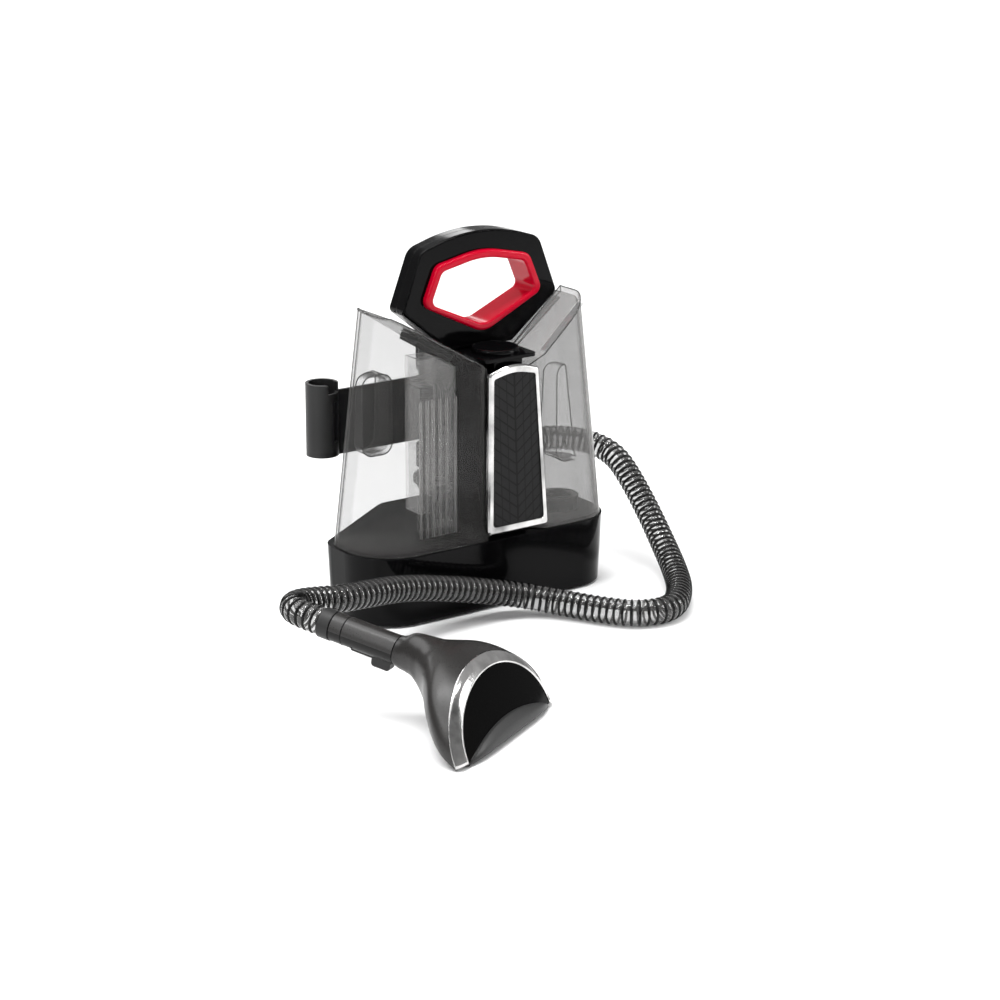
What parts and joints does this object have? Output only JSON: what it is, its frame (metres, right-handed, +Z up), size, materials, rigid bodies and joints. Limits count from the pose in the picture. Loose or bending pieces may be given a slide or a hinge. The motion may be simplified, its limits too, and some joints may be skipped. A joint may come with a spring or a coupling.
{
  "type": "spot extractor",
  "caption": "Portable carpet and upholstery spot extractor with twin clear tanks, carry handle, corrugated hose and hand tool.",
  "frame": {"origin": "on the floor under the motor's axis, midway between the machine's front and back", "axes": "+Z up, +Y from the front to the back, +X to the machine's right as seen from the front"},
  "size_m": [0.4999, 0.4656, 0.3492],
  "materials": {
    "black_gloss": "moulded gloss black",
    "black_satin": "moulded satin black",
    "grip_satin": "satin charcoal",
    "rubber_black": "soft black rubber",
    "steel": "zinc plated",
    "motor_steel": "pressed steel",
    "inner_plastic": "natural moulded",
    "clear_smoke": "clear smoke tinted plastic",
    "clear_insert": "clear plastic",
    "chrome_trim": "bright plated trim",
    "badge_black": "black with embossed chevrons",
    "red_gloss": "gloss red",
    "window_smoke": "dark smoke window",
    "red_bristle": "nylon bristle",
    "hose_ribs": "ribbed hose",
    "solution_tube": "thin tube"
  },
  "bodies": {
    "chassis": {"base_housing": "black_gloss", "base_floor": "black_satin", "base_screws": "steel", "rubber_feet": "rubber_black", "fan_housing": "inner_plastic", "motor_can": "motor_steel", "motor_mount": "rubber_black", "pump_body": "inner_plastic", "valve_seat": "black_satin", "column_front": "black_gloss", "column_back": "black_gloss", "column_cover": "black_gloss", "cover_screws": "steel", "badge_bezel": "chrome_trim", "badge_panel": "badge_black", "power_switch": "inner_plastic", "handle_front": "black_gloss", "handle_back": "black_gloss", "handle_screws": "steel", "handle_insert": "red_gloss", "hose_port": "black_satin", "hose_collar": "black_satin", "cord_gland": "black_satin", "cord_hook_lower": "black_gloss", "tool_cradle": "black_satin", "cradle_screws": "steel", "exhaust_grille": "black_satin", "hose": "hose_ribs", "hose_cuff": "black_satin", "grip_upper": "grip_satin", "grip_lower": "grip_satin", "trigger_pin": "steel", "spray_valve": "inner_plastic", "spray_tube": "solution_tube"},
    "motor_rotating": {"motor_shaft": "steel", "motor_rotor": "motor_steel", "fan_impeller": "inner_plastic"},
    "pump_moving": {"pump_plunger": "motor_steel"},
    "button": {"power_button": "black_gloss"},
    "dirty_tank": {"dirty_tank_shell": "clear_smoke", "dirty_tank_lid": "black_satin", "lid_gasket": "rubber_black", "separator_stack": "clear_insert", "inlet_deflector": "black_satin"},
    "float": {"float_valve": "black_satin"},
    "clean_tank": {"clean_tank_shell": "clear_smoke"},
    "clean_cap": {"clean_tank_cap": "black_satin", "cap_seal": "rubber_black"},
    "cap_valve_body": {"cap_valve": "black_satin"},
    "upper_hook": {"cord_hook_upper": "black_gloss"},
    "trigger": {"spray_trigger": "black_satin"},
    "nozzle": {"nozzle_body": "black_gloss", "nozzle_band": "chrome_trim", "nozzle_window": "window_smoke", "brush_block": "black_satin", "brush_bristles": "red_bristle", "spray_tip": "black_satin"}
  },
  "joints": [
    {"name": "rotor_spin", "type": "hinge", "parent": "chassis", "child": "motor_rotating", "pos_m": [0, 0, 0.03], "axis": [0, 0, 1], "continuous": true},
    {"name": "pump_stroke", "type": "slide", "parent": "chassis", "child": "pump_moving", "axis": [1, 0, 0], "range_m": [0, 0.004], "stiffness_N_per_m": 600},
    {"name": "power_press", "type": "slide", "parent": "chassis", "child": "button", "axis": [0, 0, -1], "range_m": [0, 0.0025], "stiffness_N_per_m": 500},
    {"name": "dirty_tank_lift", "type": "slide", "parent": "chassis", "child": "dirty_tank", "axis": [-0.8613, 0, 0.5081], "range_m": [0, 0.08]},
    {"name": "float_rise", "type": "slide", "parent": "dirty_tank", "child": "float", "axis": [0, 0, 1], "range_m": [0, 0.016]},
    {"name": "clean_tank_lift", "type": "slide", "parent": "chassis", "child": "clean_tank", "axis": [0.7809, 0, 0.6247], "range_m": [0, 0.08]},
    {"name": "cap_turn", "type": "hinge", "parent": "clean_tank", "child": "clean_cap", "pos_m": [0.08, -0.032, 0.07], "axis": [0, 0, 1], "range_deg": [0, 90]},
    {"name": "cap_valve_lift", "type": "slide", "parent": "clean_cap", "child": "cap_valve_body", "axis": [0, 0, 1], "range_m": [0, 0.003], "stiffness_N_per_m": 400},
    {"name": "cord_hook_turn", "type": "hinge", "parent": "chassis", "child": "upper_hook", "pos_m": [0, 0.056, 0.205], "axis": [0, 1, 0], "range_deg": [0, 180]},
    {"name": "trigger_pull", "type": "hinge", "parent": "chassis", "child": "trigger", "pos_m": [-0.26378, -0.21398, 0.05701], "axis": [0.8838, 0.4679, 0], "range_deg": [-7, 0], "stiffness_Nm_per_rad": 0.4},
    {"name": "nozzle_pull_off", "type": "slide", "parent": "chassis", "child": "nozzle", "axis": [0.4679, -0.8838, 0], "range_m": [0, 0.035]}
  ]
}
